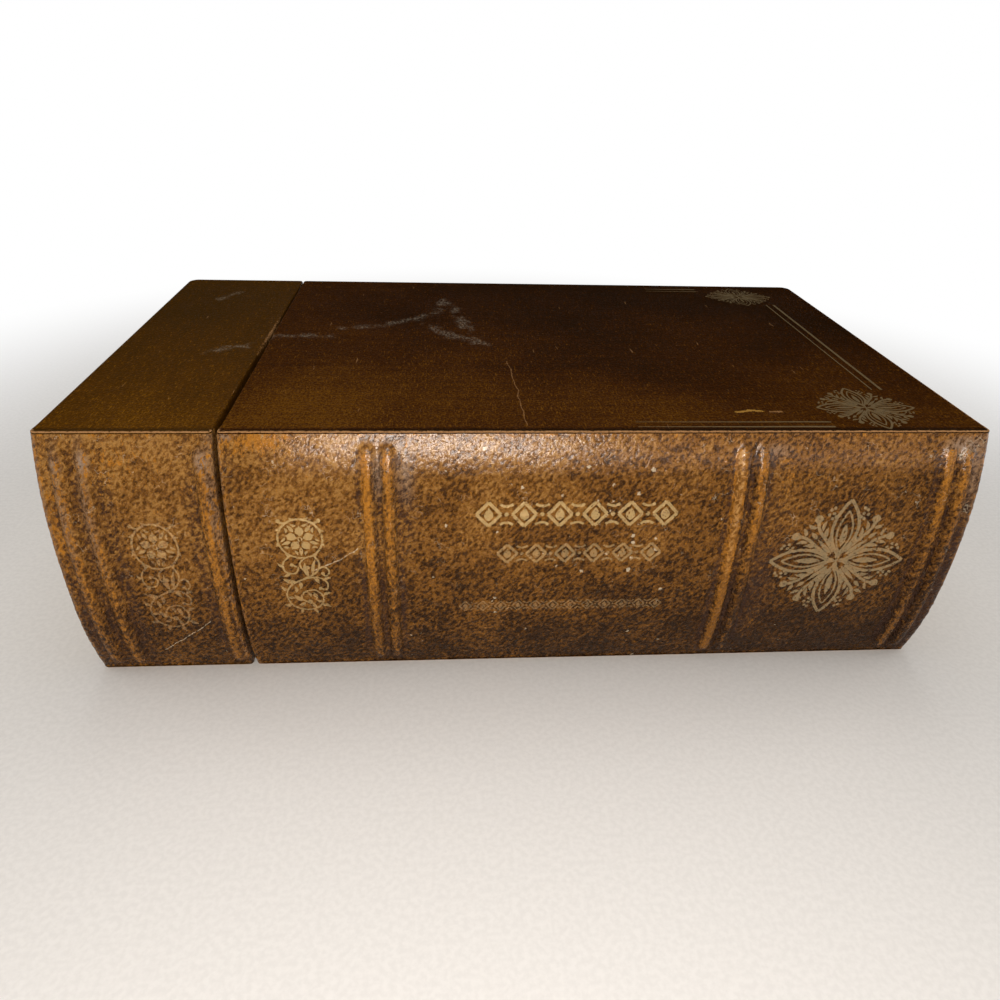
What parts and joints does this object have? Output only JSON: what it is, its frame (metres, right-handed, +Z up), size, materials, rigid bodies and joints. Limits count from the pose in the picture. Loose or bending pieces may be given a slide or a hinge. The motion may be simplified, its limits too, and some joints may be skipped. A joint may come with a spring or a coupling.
{
  "type": "book-shaped box",
  "caption": "Hollow box in the form of a thick leather-bound book with raised bands on its rounded spine; the head end is a lid that swings on butt hinges at the fore-edge.",
  "frame": {"origin": "centre of the bottom of the bounding box, on the underside of the back cover", "axes": "+X along the spine from head to tail, -Y towards the spine, +Z up through the front cover"},
  "size_m": [0.365, 0.2214, 0.114],
  "materials": {
    "board": "sanded fibreboard, stained dark",
    "cord": "half-round strip",
    "pages": "combed and painted as page edges",
    "spine_leather": "mottled, grained, waxed",
    "cover_leather": "dark, waxed, scuffed",
    "lining": "felt",
    "brass": "aged, satin",
    "magnet": "nickel-plated",
    "steel": "zinc-plated"
  },
  "bodies": {
    "body": {"body_front_board": "board", "body_back_board": "board", "body_spine_block": "board", "body_fore_edge_wall": "board", "body_tail_wall": "board", "body_spine_cords": "cord", "body_fore_edge_pages": "pages", "body_tail_pages": "pages", "body_spine_leather": "spine_leather", "body_front_leather": "cover_leather", "body_back_leather": "cover_leather", "body_front_lining": "lining", "body_back_lining": "lining", "body_spine_lining": "lining", "body_fore_edge_lining": "lining", "body_tail_lining": "lining", "body_hinge_leaves": "brass", "hinge_pins": "brass", "body_hinge_screws": "brass", "catch_magnets": "magnet"},
    "lid": {"lid_front_board": "board", "lid_back_board": "board", "lid_spine_block": "board", "lid_fore_edge_wall": "board", "lid_head_wall": "board", "lid_spine_cords": "cord", "lid_fore_edge_pages": "pages", "lid_head_pages": "pages", "lid_spine_leather": "spine_leather", "lid_front_leather": "cover_leather", "lid_back_leather": "cover_leather", "lid_front_lining": "lining", "lid_back_lining": "lining", "lid_spine_lining": "lining", "lid_fore_edge_lining": "lining", "lid_head_lining": "lining", "lid_hinge_leaves": "brass", "lid_hinge_screws": "brass", "catch_discs": "steel"}
  },
  "joints": [
    {"name": "lid_hinge", "type": "hinge", "parent": "body", "child": "lid", "pos_m": [-0.1168, 0.10775, 0.057], "axis": [0, 0, -1], "range_deg": [0, 180]}
  ]
}
